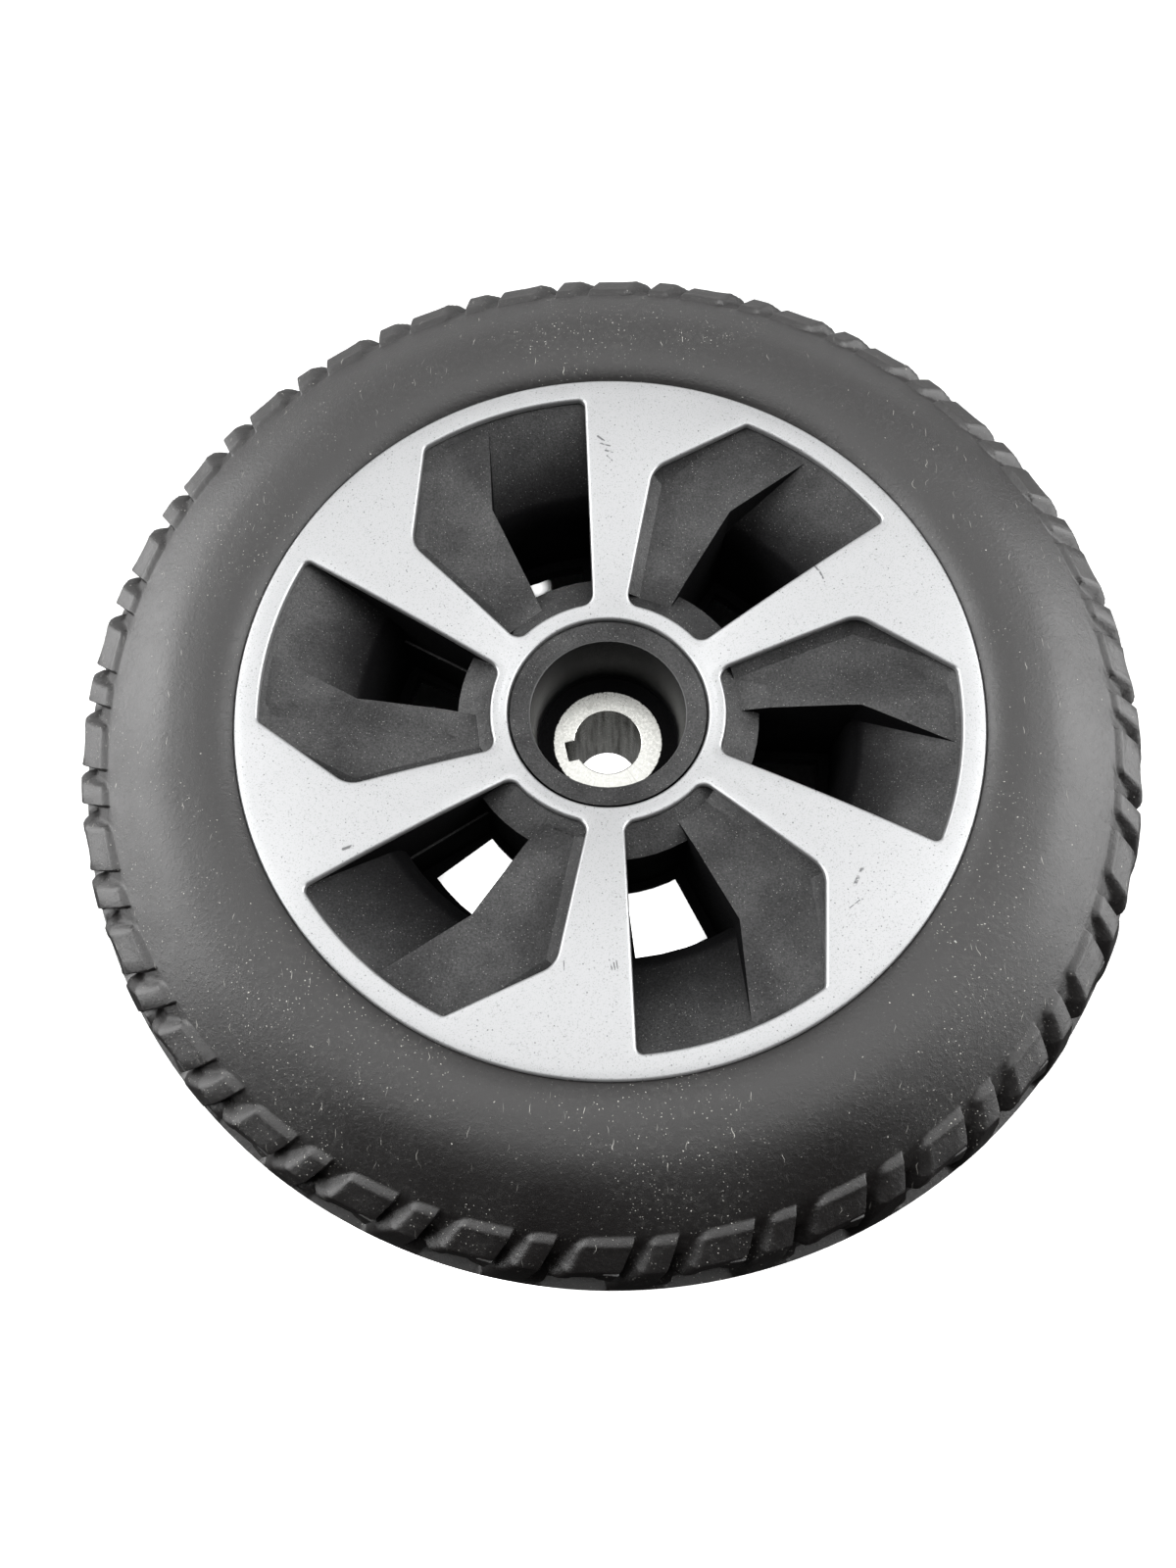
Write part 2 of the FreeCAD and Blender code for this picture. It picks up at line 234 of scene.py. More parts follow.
# tyre rubber, with dust in patches, specks, hairs, pale edges of wear and painted highlight, and less
# shine in the grooves, which is painted shade
rubberLook = {
    "colour": (0.0027, 0.0021, 0.0020, 1),
    "dusty": (0.0100, 0.0093, 0.0088, 1),
    # the pale edges' colour is wear and a painted highlight
    "speck": (0.30, 0.294, 0.27, 1),
    "worn": (0.06, 0.058, 0.054, 1),
    "roughness": 0.47,
    "roughSpread": (-0.06, 0.1),
    # shine on the blocks, then in the grooves; the drop in the grooves is painted shade
    "shine": (0.5, 0.34),
    # noises: scale, detail, roughness
    "cloud": (22.0, 4.0, 0.6),
    "fine": (1100.0, 3.0, 0.65),
    "grit": (700.0, 4.0, 0.75),
    # where a noise, a direction or a bend turns from none to full
    "dustFacing": (0.55, 0.9),
    "patchRange": (0.44, 0.62),
    "gritRange": (0.48, 0.66),
    "roughRange": (0.3, 0.75),
    "wearAndHighlightRange": (0.53, 0.62),
    "hollowRange": (0.1, 0.9),
    # the least of the dust and the specks outside the patches, and of the dust on steep faces
    "dustOutside": 0.15,
    "dustSteep": 0.3,
    "specksOutside": 0.12,
    # specks: scale, size, share of the cells
    "smallSpecks": (1250.0, 0.20, 0.6),
    "largeSpecks": (620.0, 0.12, 0.14),
    "speckBend": (2400.0, 0.0005),
    "speckRoughness": 0.8,
    # fibres: scale, stretch, width, share of the cells, and the turns that they lie at
    "longFibre": (620.0, 0.06, 0.05, 0.07),
    "longTurns": (0.4,),
    "shortFibre": (700.0, 0.07, 0.055, 0.07),
    "shortTurns": (1.2, 2.0, 2.8),
    "fibreBend": (330.0, 0.0024),
    "fibreStrength": 0.7,
    "wearAndHighlightStrength": 0.5,
    # relief: how high the clouds and the grit stand, then distance and strength
    "cloudHeight": 2.0,
    "gritHeight": 0.35,
    "bump": (0.00011, 0.7),
}


def makeRubber():
    look = rubberLook
    material, tree, shader = newMaterial("tyreRubber")
    place = objectPlace(tree)
    cloud, fine = (grain(tree, place, *look[name]) for name in ("cloud", "fine"))
    lying = remap(tree, facingUp(tree), *look["dustFacing"])
    patches = remap(tree, cloud, *look["patchRange"])
    grit = remap(tree, grain(tree, place, *look["grit"]), *look["gritRange"])
    patchy = fade(tree, patches, look["dustOutside"], 1.0)
    film = times(tree, grit, patchy, fade(tree, lying, look["dustSteep"], 1.0))
    colour = mixColour(tree, film, look["colour"], look["dusty"])
    ragged = bentPlace(tree, place, *look["speckBend"])
    small, large = (specks(tree, ragged, *look[name]) for name in ("smallSpecks", "largeSpecks"))
    curled = bentPlace(tree, place, *look["fibreBend"])
    hairs = [fibres(tree, curled, *look[kind + "Fibre"], turn)
             for kind in ("long", "short") for turn in look[kind + "Turns"]]
    dots = largest(tree, times(tree, small, fade(tree, patches, look["specksOutside"], 1.0)), large)
    strands = times(tree, largest(tree, *hairs), times(tree, lying, look["fibreStrength"]))
    dots = largest(tree, dots, strands)
    colour = mixColour(tree, dots, colour, look["speck"])
    # pale edges where the surface bends sharply: wear and a painted highlight
    bent = put(tree, "NewGeometry").outputs["Pointiness"]
    worn = remap(tree, bent, *look["wearAndHighlightRange"], 0.0, look["wearAndHighlightStrength"])
    colour = mixColour(tree, times(tree, worn, grit), colour, look["worn"])
    tree.links.new(colour, shader.inputs["Base Color"])
    # the grooves get less shine than the blocks: painted shade
    hollow = put(tree, "Attribute", attribute_name="hollow").outputs["Fac"]
    shine = remap(tree, hollow, *look["hollowRange"], *look["shine"])
    tree.links.new(shine, shader.inputs["Specular IOR Level"])
    spread = [look["roughness"] + change for change in look["roughSpread"]]
    rough = remap(tree, cloud, *look["roughRange"], *spread)
    rough = largest(tree, rough, times(tree, dots, look["speckRoughness"]))
    tree.links.new(rough, shader.inputs["Roughness"])
    clouds, grains = times(tree, cloud, look["cloudHeight"]), times(tree, grit, look["gritHeight"])
    height = compute(tree, "ADD", fine, clouds, grains, dots)
    tree.links.new(bump(tree, height, *look["bump"]), shader.inputs["Normal"])
    return material


# black moulded plastic of the rim: dust and painted shade, grey and dusty where it faces up and lies
# high, black with little shine lower down and in the pockets, which is painted shade
plasticLook = {
    "colour": (0.0022, 0.0022, 0.0024, 1),
    "dusty": (0.006, 0.006, 0.0063, 1),
    "speck": (0.26, 0.26, 0.25, 1),
    "roughness": 0.44,
    "cleanRoughness": 0.85,
    # shine in the pockets and on the dusty faces; the low shine in the pockets is painted shade
    "shine": (0.04, 0.37),
    # the hub's recess is polished: its radius, the blur of its edge, its floor, in metres
    "recess": 0.0190,
    "recessBlur": 0.0002,
    "recessFloor": (0.0325, 0.0335),
    "polish": 0.5,
    "polishSmoothing": 0.55,
    "cloud": (45.0, 4.0, 0.6),
    "fine": (2100.0, 4.0, 0.7),
    "dustFacing": (0.45, 0.98),
    # the heights over which the dust and the painted shade fade in, in metres
    "dustAndShadeHeight": (0.030, 0.047),
    # ranges of a noise, and what they become
    "dustClouds": (0.3, 0.75, 0.3, 1.0),
    "dustGrain": (0.38, 0.62, 0.35, 1.0),
    "shineGrain": (0.36, 0.64, 0.7, 1.2),
    "shineClouds": (0.35, 0.65, 0.72, 1.2),
    "smallSpecks": (1500.0, 0.19, 0.6),
    "largeSpecks": (800.0, 0.12, 0.2),
    "speckStrength": (0.02, 0.7),
    "bump": (0.00014, 0.8),
}


def makePlastic():
    look = plasticLook
    material, tree, shader = newMaterial("rimPlastic")
    place = objectPlace(tree)
    cloud, fine = (grain(tree, place, *look[name]) for name in ("cloud", "fine"))
    height = heightOf(tree, place)
    edges = [look["recess"] - look["recessBlur"], look["recess"] + look["recessBlur"]]
    outside = remap(tree, planRadius(tree, place), *edges)
    # dust and painted shade: faces that look up and lie high, outside the recess, get the dusty colour,
    # specks and more shine; lower faces and the pockets stay black as painted shade
    level = remap(tree, facingUp(tree), *look["dustFacing"])
    lying = times(tree, level, remap(tree, height, *look["dustAndShadeHeight"]), outside)
    clouds = remap(tree, cloud, *look["dustClouds"])
    dustAndShade = times(tree, clouds, lying, remap(tree, fine, *look["dustGrain"]))
    colour = mixColour(tree, dustAndShade, look["colour"], look["dusty"])
    dots = largest(tree, *(specks(tree, place, *look[name]) for name in ("smallSpecks", "largeSpecks")))
    dots = times(tree, dots, fade(tree, lying, *look["speckStrength"]))
    colour = mixColour(tree, dots, colour, look["speck"])
    tree.links.new(colour, shader.inputs["Base Color"])
    within = compute(tree, "SUBTRACT", 1.0, outside)
    polished = times(tree, within, remap(tree, height, *look["recessFloor"]))
    # the low shine away from the dusty faces is painted shade too
    shine = times(tree, fade(tree, lying, *look["shine"]), remap(tree, fine, *look["shineGrain"]),
                  remap(tree, cloud, *look["shineClouds"]))
    shine = largest(tree, shine, times(tree, polished, look["polish"]))
    tree.links.new(shine, shader.inputs["Specular IOR Level"])
    rough = fade(tree, lying, look["cleanRoughness"], look["roughness"])
    rough = compute(tree, "SUBTRACT", rough, times(tree, polished, look["polishSmoothing"]))
    tree.links.new(rough, shader.inputs["Roughness"])
    relief = bump(tree, compute(tree, "ADD", fine, dots), *look["bump"])
    tree.links.new(relief, shader.inputs["Normal"])
    return material


# silver paint of the trim; each mark has two ends and a width, in millimetres
silverLook = {
    "marks": [
        ((-2.5, 69.8), (-1.0, 68.6), 0.35),
        ((-1.9, 67.9), (0.5, 67.2), 0.25),
        ((-0.6, 66.0), (1.1, 65.5), 0.3),
        ((-0.2, 64.6), (1.15, 63.25), 0.25),
        ((49.15, 34.6), (50.1, 33.0), 0.3),
        ((50.3, 33.1), (51.26, 30.7), 0.3),
        ((53.14, -44.1), (55.1, -40.4), 0.5),
        ((53.9, -47.5), (51.7, -49.2), 0.15),
        ((0.2, -60.2), (0.9, -62.6), 0.2),
        ((1.0, -60.0), (1.5, -62.8), 0.2),
        ((1.7, -60.4), (2.0, -62.2), 0.2),
        ((-58.2, -36.2), (-56.4, -35.5), 0.5),
        ((-9.5, -60.4), (-9.4, -62.4), 0.15),
        ((-52.0, 24.0), (-50.2, 23.0), 0.2),
        ((30.0, 61.0), (31.2, 59.8), 0.2),
    ],
    "colour": (0.268, 0.271, 0.274, 1),
    "flake": (0.155, 0.157, 0.159, 1),
    "bare": (0.03, 0.03, 0.032, 1),
    "metallic": 0.72,
    "roughness": 0.36,
    "roughSpread": (-0.03, 0.06),
    "roughRange": (0.3, 0.7),
    "flakes": (2900.0, 3.0, 0.7),
    "flakeRange": (0.53, 0.72),
    "cloud": (60.0, 3.0, 0.6),
    "largeSpecks": (480.0, 0.12, 0.35),
    "smallSpecks": (1000.0, 0.2, 0.5),
    "markGrain": (900.0, 2.0, 0.5),
    "markRange": (0.38, 0.55),
    "bareStrength": 0.8,
    "bump": (0.00005, 0.35),
}


def makeSilver():
    look = silverLook
    material, tree, shader = newMaterial("silverPaint")
    place = objectPlace(tree)
    flake, cloud = (grain(tree, place, *look[name]) for name in ("flakes", "cloud"))
    dark = remap(tree, flake, *look["flakeRange"])
    colour = mixColour(tree, dark, look["colour"], look["flake"])
    dots = largest(tree, *(specks(tree, place, *look[name]) for name in ("largeSpecks", "smallSpecks")))
    lines = largest(tree, *(scratch(tree, place, *mark) for mark in look["marks"]))
    worn = remap(tree, grain(tree, place, *look["markGrain"]), *look["markRange"])
    dots = largest(tree, dots, times(tree, lines, worn))
    colour = mixColour(tree, times(tree, dots, look["bareStrength"]), colour, look["bare"])
    tree.links.new(colour, shader.inputs["Base Color"])
    shader.inputs["Metallic"].default_value = look["metallic"]
    spread = [look["roughness"] + change for change in look["roughSpread"]]
    tree.links.new(remap(tree, cloud, *look["roughRange"], *spread), shader.inputs["Roughness"])
    tree.links.new(bump(tree, flake, *look["bump"]), shader.inputs["Normal"])
    return material


# zinc plate of the sleeve and the screws: stained, ground across its face, nicked round its edge
zincLook = {
    "colour": (0.37, 0.37, 0.352, 1),
    "stain": (0.15, 0.145, 0.13, 1),
    "nick": (0.02, 0.02, 0.019, 1),
    "bore": (0.60, 0.60, 0.57, 1),
    "roughness": 0.3,
    "roughSpread": (-0.08, 0.12),
    "roughRange": (0.3, 0.7),
    "cloud": (160.0, 5.0, 0.65),
    "marks": (1400.0, 3.0, 0.6),
    "stainRange": (0.60, 0.80),
    "stainStrength": 0.6,
    # the bore's wall, with streaks along it: radius in metres, and how steep it is
    "boreRadius": (0.0118, 0.0110),
    "boreFacing": (0.7, 0.3),
    "streaks": (500.0, 3.0, 0.6),
    "streakStretch": (1, 1, 0.06),
    "streakRange": (0.35, 0.7),
    # grinding marks that run outwards: a noise of the angle
    "grinding": {"Scale": 210.0, "Detail": 3.0, "Roughness": 0.7},
    "grindingRange": (0.52, 0.72, 0.0, 0.55),
    # nicks: a noise that wavers the radius, and the radius where they start, in metres
    "nicks": (900.0, 3.0, 0.6),
    "nickDepth": 0.0022,
    "nickRadius": (0.0147, 0.0152),
    "bump": (0.00005, 0.4),
}


def makeZinc():
    look = zincLook
    material, tree, shader = newMaterial("zincPlate")
    place = objectPlace(tree)
    cloud, marks = (grain(tree, place, *look[name]) for name in ("cloud", "marks"))
    stain = times(tree, remap(tree, cloud, *look["stainRange"]), look["stainStrength"])
    colour = mixColour(tree, stain, look["colour"], look["stain"])
    around = put(tree, "TexGradient", {"Vector": place}, gradient_type="RADIAL").outputs["Fac"]
    ground = put(tree, "TexNoise", {"W": around, **look["grinding"]}, noise_dimensions="1D")
    ground = remap(tree, ground.outputs["Fac"], *look["grindingRange"])
    colour = mixColour(tree, times(tree, ground, cloud), colour, look["stain"])
    radius = planRadius(tree, place)
    depth = times(tree, grain(tree, place, *look["nicks"]), look["nickDepth"])
    nicked = remap(tree, compute(tree, "ADD", radius, depth), *look["nickRadius"])
    colour = mixColour(tree, nicked, colour, look["nick"])
    stretched = put(tree, "Mapping", {"Vector": place, "Scale": look["streakStretch"]}).outputs[0]
    streaks = remap(tree, grain(tree, stretched, *look["streaks"]), *look["streakRange"])
    wall = mixColour(tree, streaks, look["bore"], look["stain"])
    steep = remap(tree, facingUp(tree), *look["boreFacing"])
    within = times(tree, remap(tree, radius, *look["boreRadius"]), steep)
    colour = mixColour(tree, within, colour, wall)
    tree.links.new(colour, shader.inputs["Base Color"])
    shader.inputs["Metallic"].default_value = 1.0
    spread = [look["roughness"] + change for change in look["roughSpread"]]
    tree.links.new(remap(tree, marks, *look["roughRange"], *spread), shader.inputs["Roughness"])
    tree.links.new(bump(tree, marks, *look["bump"]), shader.inputs["Normal"])
    return material


rubber = makeRubber()
plastic = makePlastic()
silver = makeSilver()
zinc = makeZinc()
print("materials made")

# the tyre's section: radius and distance from the middle plane, in millimetres
tyre = {
    "pitches": 30,
    "bead": (84.7, 20.37),
    "crest": (98.3, 27.0),
    "shoulder": (114.7, 20.55),
    "bandEnd": (116.95, 20.5),
    "facetEnd": (122.15, 17.8),
    "crown": 127.0,
    "floor": [(114.7, 20.55), (119.0, 17.2), (122.8, 0.0)],
    "seat": (63.4, 6.9),
    "seatMiddle": 0.4,
    "sidewallRows": 14,
    "sidewallArch": 0.8,
    "sidewallBend": 0.7,
    "crownRows": 12,
    "smoothAngle": 38,
}
pitch = 360.0 / tyre["pitches"]

# the tread, over one pitch: turns in degrees, and shares of the way from the shoulder to the middle
tread = {
    # the rows' shares, and how far the blocks lean back by each share
    "rows": [
        0.006, 0.015, 0.028, 0.045, 0.065, 0.078, 0.088, 0.1, 0.125, 0.16, 0.2, 0.245,
        0.28, 0.296, 0.306, 0.317, 0.328, 0.34, 0.355, 0.37, 0.388, 0.406, 0.424, 0.442,
        0.457, 0.47, 0.485, 0.55, 0.65, 0.735, 0.76, 0.782, 0.8, 0.82, 0.9, 0.98,
    ],
    "lean": [(0, 0), (0.084, 0.3), (0.3, 1.4), (0.45, 2.2), (1, 4.3)],
    # the columns lie close together on the blocks' flanks and straight sides
    "flankColumns": (-1.3, 1.0, 9),
    "topColumnsEnd": -0.25,
    "sideColumns": (-0.12, -0.03, 0.06, 0.17),
    "grooveColumn": 0.5,
    # each block has a sloped flank that sweeps back, a straight side and a cut inner corner
    "long": {
        "turns": (3.3, 8.7),
        "topColumns": 4,
        "sweep": (2.1, 0.16, 0.62),
        "root": (0.12, 0.5),
        "corner": (0.15, 1.5, 2.1),
    },
    "short": {
        "turns": (10.45, 13.05),
        "topColumns": 2,
        "sweep": (1.6, 0.12, 0.56),
        "root": (0.12, 0.4),
        "corner": (0.08, 1.2, 1.7),
    },
    "edge": 0.17,
    "flankSoftness": 0.4,
    "spread": (0.45, 0.5, 0.05, 0.4),
    "innerEnd": (-0.01, 0.05),
    # the long block steps down at its outer end, on a curve, and has a shallow dish in its facet
    "outerEnd": (0.42, 0.11, 1.5),
    "outerEdge": 0.02,
    "outerHeight": 0.55,
    "dish": (0.09, 0.085, 0.13),
    "dishTurns": (0.6, 1.5),
    # a tab past that step, a tie between the blocks, and the rib in the middle
    "tabHeight": 0.97,
    "tabTurns": (-1.75, -1.6),
    "tabStart": (0.325, 0.335),
    "tabEnd": (0.46, 0.475),
    "tie": (0.85, 0.45, 0.68),
    "tieGap": 0.2,
    "rib": (0.78, 0.82),
    "hollowStart": 0.1,
}


def arcThrough(first, middle, last, count):
    (x1, y1), (x2, y2), (x3, y3) = first, middle, last
    span = 2 * (x1 * (y2 - y3) + x2 * (y3 - y1) + x3 * (y1 - y2))
    a, b, c = x1 * x1 + y1 * y1, x2 * x2 + y2 * y2, x3 * x3 + y3 * y3
    cx = (a * (y2 - y3) + b * (y3 - y1) + c * (y1 - y2)) / span
    cy = (a * (x3 - x2) + b * (x1 - x3) + c * (x2 - x1)) / span
    start, end = math.atan2(y1 - cy, x1 - cx), math.atan2(y3 - cy, x3 - cx)
    radius = math.hypot(x1 - cx, y1 - cy)
    turns = [start + (end - start) * k / count for k in range(count + 1)]
    return [(cx + radius * math.cos(t), cy + radius * math.sin(t)) for t in turns]


def sidewall(bead, crest, shoulder):
    # a flat arch towards the trim, then a turn into a nearly straight slope towards the tread
    rows = []
    half = tyre["sidewallRows"] // 2
    for step in range(half):
        turn = math.pi / 2 * step / half
        inward, rise = (side(turn) ** tyre["sidewallArch"] for side in (math.cos, math.sin))
        radius = crest[0] - (crest[0] - bead[0]) * inward
        rows.append((radius, bead[1] + (crest[1] - bead[1]) * rise))
    bend = tyre["sidewallBend"]
    for step in range(half + 1):
        across = step / half
        fall = (math.hypot(across, bend) - bend) / (math.hypot(1, bend) - bend)
        radius = crest[0] + (shoulder[0] - crest[0]) * across
        rows.append((radius, crest[1] - (crest[1] - shoulder[1]) * fall))
    return rows


def alongLine(points, shares):
    # points at shares of a line's length
    points = np.asarray(points, float)
    lengths = np.concatenate([[0], np.cumsum(np.hypot(*np.diff(points, axis=0).T))])
    wanted = np.asarray(shares) * lengths[-1]
    return np.stack([np.interp(wanted, lengths, points[:, axis]) for axis in (0, 1)], axis=1)


def treadColumns():
    before, after, count = tread["flankColumns"]
    columns = []
    for block in (tread["long"], tread["short"]):
        start, end = block["turns"]
        columns += list(np.linspace(start + before, start + after, count))
        top = np.linspace(start + after, end + tread["topColumnsEnd"], block["topColumns"])
        columns += list(top[1:])
        columns += [end + shift for shift in tread["sideColumns"]]
    columns.append(end + tread["grooveColumn"])
    return np.sort(np.asarray(columns))


def ramp(low, high, value):
    # a straight slope with softened ends
    share = np.clip((value - low) / (high - low), 0, 1)
    softness = tread["flankSoftness"]
    return (1 - softness) * share + softness * smooth(low, high, value)


def straightSide(block, turn):
    end = block["turns"][1]
    return 1 - smooth(end - tread["edge"], end + tread["edge"], turn)


def blockForm(block, before, turn, share):
    # a block's height, without its steps; before is the end of the block behind it
    start = block["turns"][0]
    least, gain, low, high = tread["spread"]
    spread = least + gain * smooth(low, high, share)
    reach, low, high = block["sweep"]
    sweep = reach * smooth(low, high, share)
    flank = ramp(start - spread - sweep, start + spread - sweep, turn)
    flank = flank * smooth(before + block["root"][0], before + block["root"][1], turn)
    depth, first, width = block["corner"]
    corner = depth * np.clip((start + first - turn) / width, 0, 1) ** 2
    return flank * straightSide(block, turn) * smooth(*tread["innerEnd"], share - corner)


def treadRelief(turn, share):
    # height of the tread at a place: 0 on the groove's floor, 1 on the blocks
    longStart, longEnd = tread["long"]["turns"]
    shortEnd = tread["short"]["turns"][1]
    across = np.clip((turn - longStart) / (longEnd - longStart), 0, 1)
    farthest, drawBack, curve = tread["outerEnd"]
    outer = 1 - smooth(0.0, tread["outerEdge"], share - (farthest - drawBack * across ** curve))
    depth, low, high = tread["dish"]
    first, last = (longStart + shift for shift in tread["dishTurns"])
    dished = 1 - depth * smooth(low, high, share) * smooth(first, last, turn)
    step = tread["outerHeight"] + (1 - tread["outerHeight"]) * outer
    block = blockForm(tread["long"], shortEnd - pitch, turn, share) * step * dished
    first, last = (longEnd + shift for shift in tread["tabTurns"])
    tab = smooth(first, last, turn) * straightSide(tread["long"], turn) * tread["tabHeight"]
    tab = tab * smooth(*tread["tabStart"], share) * (1 - smooth(*tread["tabEnd"], share))
    lug = blockForm(tread["short"], longEnd, turn, share)
    height, low, high = tread["tie"]
    between = (turn > shortEnd) | (turn < longStart - tread["tieGap"])
    tie = height * smooth(low, high, share) * np.where(between, 1.0, 0.0)
    return np.maximum.reduce([block, tab, lug, tie, smooth(*tread["rib"], share)])


def halfTyre():
    columns = treadColumns()
    turns = np.concatenate([columns + pitch * k for k in range(tyre["pitches"])])
    local = np.tile(columns, tyre["pitches"])
    seat, shoulder, facetEnd = tyre["seat"], tyre["shoulder"], tyre["facetEnd"]
    plain = [(seat[0], tyre["seatMiddle"]), seat] + sidewall(tyre["bead"], tyre["crest"], shoulder)
    half = tyre["crownRows"]
    farEnd = (facetEnd[0], -facetEnd[1])
    crownArc = arcThrough(facetEnd, (tyre["crown"], 0.0), farEnd, 2 * half)
    top = alongLine([shoulder, tyre["bandEnd"]] + crownArc[:half + 1], tread["rows"])
    floor = alongLine(tyre["floor"], tread["rows"])
    leanAt, leanBy = np.array(tread["lean"]).T
    points, hollow = [], []

    def addRing(radius, offset, lean, depth):
        turn = np.radians(turns - lean)
        rise = np.full_like(turn, offset)
        points.append(np.stack([radius * np.cos(turn), radius * np.sin(turn), rise], axis=1))
        hollow.append(np.full_like(turn, depth))

    for radius, offset in plain:
        addRing(radius, offset, 0.0, 0.0)
    for share, high, low in zip(tread["rows"], top, floor):
        relief = treadRelief(local, np.full_like(local, share))
        radius, offset = (low[axis] + (high[axis] - low[axis]) * relief for axis in (0, 1))
        depth = (1 - relief) * smooth(0.0, tread["hollowStart"], share)
        addRing(radius, offset, np.interp(share, leanAt, leanBy), depth)
    return np.stack(points), np.stack(hollow)


def gridFaces(rows, columns, start, flip):
    faces = []
    for row in range(rows - 1):
        for column in range(columns):
            after = (column + 1) % columns
            a, b = start + row * columns + column, start + row * columns + after
            c, d = b + columns, a + columns
            faces.append((a, d, c, b) if flip else (a, b, c, d))
    return faces


def joinRings(first, second, points):
    # closes the band between two rings of points, walking round both by angle
    def angleOf(index):
        return math.atan2(points[index][1], points[index][0]) % math.tau

    def angleAt(ring, step):
        return angleOf(ring[step % len(ring)]) + (math.tau if step >= len(ring) else 0)

    first, second = sorted(first, key=angleOf), sorted(second, key=angleOf)
    faces = []
    a = b = 0
    while a < len(first) or b < len(second):
        here, there = first[a % len(first)], second[b % len(second)]
        nearer = a < len(first) and angleAt(first, a + 1) < angleAt(second, b + 1)
        if b >= len(second) or nearer:
            faces.append((here, first[(a + 1) % len(first)], there))
            a += 1
        else:
            faces.append((here, second[(b + 1) % len(second)], there))
            b += 1
    return faces


def makeTyre():
    front, hollow = halfTyre()
    rows, columns = front.shape[:2]
    rear = front * np.array([1, -1, -1])   # the rear side is the front side turned over
    points = np.concatenate([front.reshape(-1, 3), rear.reshape(-1, 3)])
    points[:, 2] += wheel["middle"]
    count = rows * columns
    faces = gridFaces(rows, columns, 0, False) + gridFaces(rows, columns, count, True)
    for row in (0, rows - 1):
        ring = list(range(row * columns, (row + 1) * columns))
        faces += joinRings(ring, [count + index for index in ring], points)
    depths = np.tile(hollow.ravel(), 2)
    piece = makePiece("tyreShape", points, faces, rubber, tyre["smoothAngle"], depths)
    standFor(piece, "tyre")
    print("tyre made", len(points), "points")


makeTyre()

# the trim: a dished plate with six swept windows and softly rounded edges
# a window's straight lines have an angle and a distance from the axis
trim = {
    "thickness": 1.6,
    "edge": 0.75,
    "edgeSteps": 5,
    "wallFoot": 0.1,
    "band": 5.3,
    "windowInner": 28.0,
    "straight": (32.4, 2.5),
    "kneeInner": (78.7, 1.0),
    "kneeOuter": (25.5, 50.5),
    "kneeRound": 6.0,
    "hubRound": 3.0,
    "rimRound": 1.5,
    "spacing": 2.2,
    "clearance": 0.45,
    "planGap": 1e-7,
    "smoothAngle": 50,
    # how many points there are on each stretch of an outline
    "rimPoints": 300,
    "holePoints": 140,
    "straightPoints": 34,
    "outerPoints": 34,
    "kneeOuterPoints": 18,
    "kneePoints": 12,
    "kneeInnerPoints": 22,
    "innerPoints": 10,
    "cornerPoints": 8,
}


def lineFrame(angle):
    turn = math.radians(angle)
    return np.array([math.cos(turn), math.sin(turn)]), np.array([-math.sin(turn), math.cos(turn)])


def windowOutline(margin):
    # the window's outline, grown by a margin, with a fixed number of points on each stretch
    outerRadius = wheel["trimRadius"] - trim["band"] + margin
    innerRadius = trim["windowInner"] - margin
    hub, rim, knee = (trim[name] + margin for name in ("hubRound", "rimRound", "kneeRound"))
    lines = {}
    for name, side in (("straight", -1), ("kneeInner", 1), ("kneeOuter", 1)):
        angle, offset = trim[name]
        along, across = lineFrame(angle)
        lines[name] = (along, across, offset + side * margin, -side)

    def arcCorner(name, radius, rounding, outside):
        along, across, offset, inward = lines[name]
        shift = offset + inward * rounding
        reach = radius - rounding if outside else radius + rounding
        run = math.sqrt(reach * reach - shift * shift)
        centre = across * shift + along * run
        return centre, across * offset + along * run, centre * radius / np.linalg.norm(centre)

    def stretch(start, end, kind):
        count = trim[kind + "Points"]
        return [start + (end - start) * k / count for k in range(count)]

    def turnRound(centre, start, end, kind):
        count = trim[kind + "Points"]
        first = math.atan2(*(start - centre)[::-1])
        sweep = (math.atan2(*(end - centre)[::-1]) - first + math.pi) % math.tau - math.pi
        radius = np.linalg.norm(start - centre)
        turns = [first + sweep * k / count for k in range(count)]
        return [centre + radius * np.array([math.cos(t), math.sin(t)]) for t in turns]

    c1, onStraightOut, onArc1 = arcCorner("straight", outerRadius, rim, True)
    c2, onOuter, onArc2 = arcCorner("kneeOuter", outerRadius, rim, True)
    c3, onInner, onArc3 = arcCorner("kneeInner", innerRadius, hub, False)
    c4, onStraightIn, onArc4 = arcCorner("straight", innerRadius, hub, False)
    _, across1, offset1, inward1 = lines["kneeInner"]
    _, across2, offset2, inward2 = lines["kneeOuter"]
    shifts = np.array([offset1 + inward1 * knee, offset2 + inward2 * knee])
    kneeCentre = np.linalg.solve(np.array([across1, across2]), shifts)
    kneeStart = kneeCentre - across2 * inward2 * knee
    kneeEnd = kneeCentre - across1 * inward1 * knee
    middle = np.zeros(2)
    return np.array([
        *stretch(onStraightIn, onStraightOut, "straight"),
        *turnRound(c1, onStraightOut, onArc1, "corner"),
        *turnRound(middle, onArc1, onArc2, "outer"),
        *turnRound(c2, onArc2, onOuter, "corner"),
        *stretch(onOuter, kneeStart, "kneeOuter"),
        *turnRound(kneeCentre, kneeStart, kneeEnd, "knee"),
        *stretch(kneeEnd, onInner, "kneeInner"),
        *turnRound(c3, onInner, onArc3, "corner"),
        *turnRound(middle, onArc3, onArc4, "inner"),
        *turnRound(c4, onArc4, onStraightIn, "corner"),
    ])


def turnedPlan(points, angle):
    along, across = lineFrame(angle)
    return points @ np.array([along, across])


